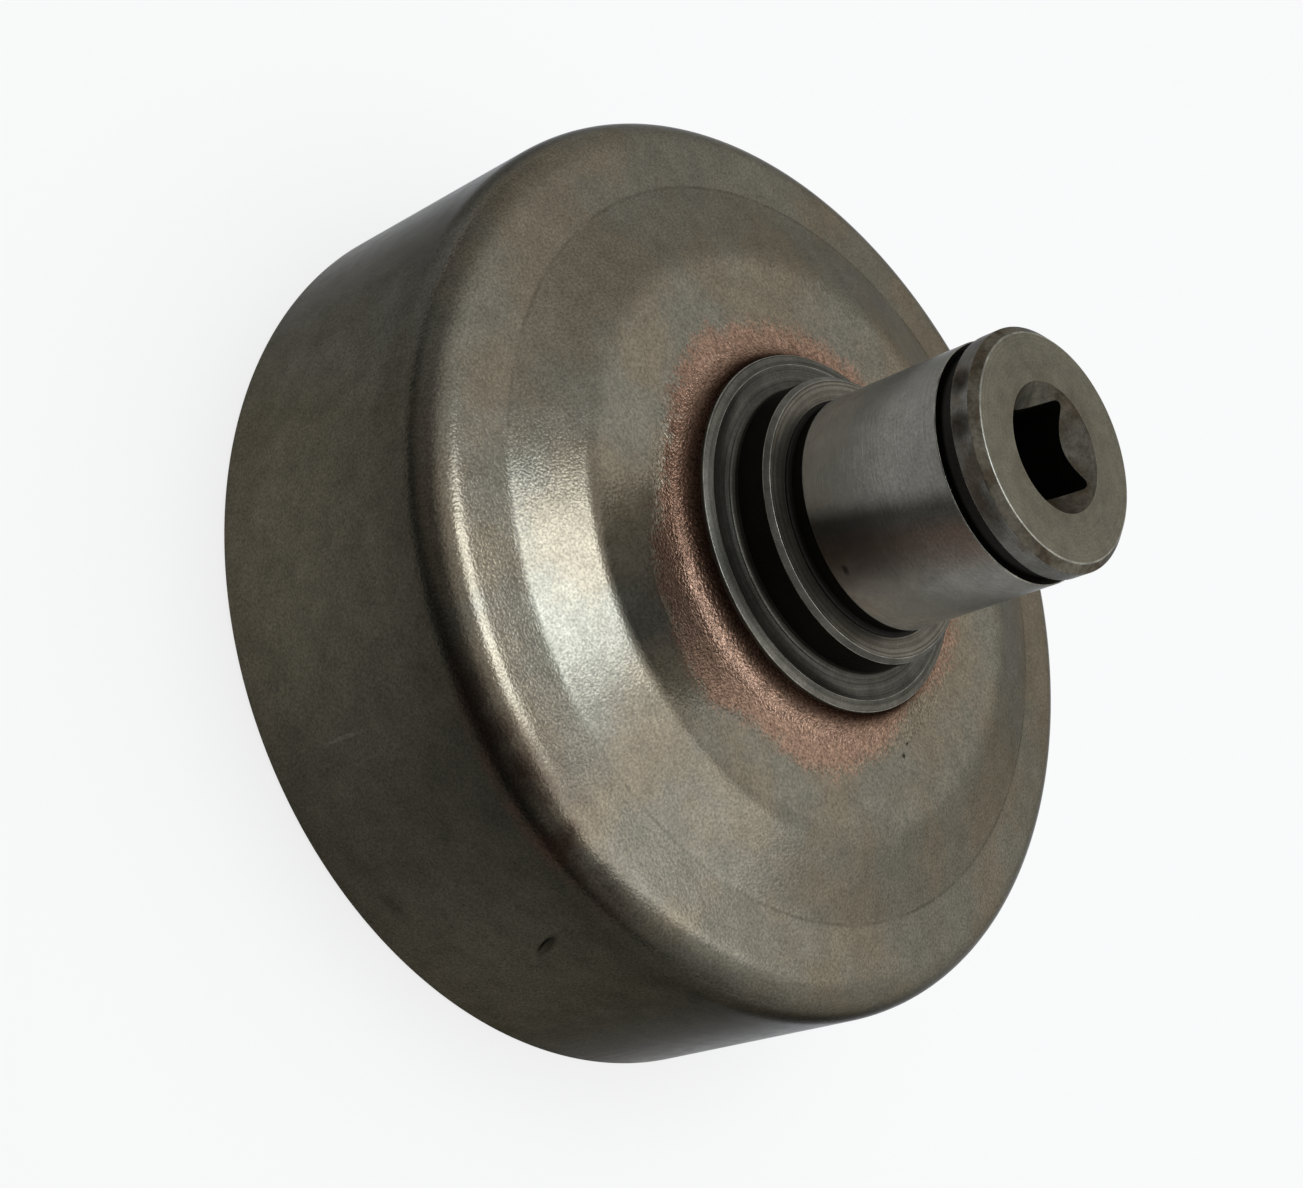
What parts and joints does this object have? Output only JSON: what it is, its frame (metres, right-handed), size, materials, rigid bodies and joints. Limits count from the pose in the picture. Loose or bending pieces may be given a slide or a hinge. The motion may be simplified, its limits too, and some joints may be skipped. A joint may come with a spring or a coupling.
{
  "type": "clutch drum",
  "caption": "Pressed steel clutch drum brazed to a turned hub with flange, bearing collar, journal, circlip groove and countersunk square drive socket.",
  "frame": {"origin": "centre of the cup's open rim, on the plane that the drum stands on", "axes": "+Z along the shaft from the open rim to the tip, X and Y square to the flats of the drive socket"},
  "size_m": [0.059, 0.059, 0.04],
  "materials": {
    "pressed_steel": "satin, drawn and tumbled",
    "turned_steel": "fine turned and ground",
    "copper_braze": "grainy, as brazed"
  },
  "bodies": {
    "root": {"drum_cup": "pressed_steel", "hub_shaft": "turned_steel", "braze_fillet": "copper_braze"}
  },
  "joints": []
}
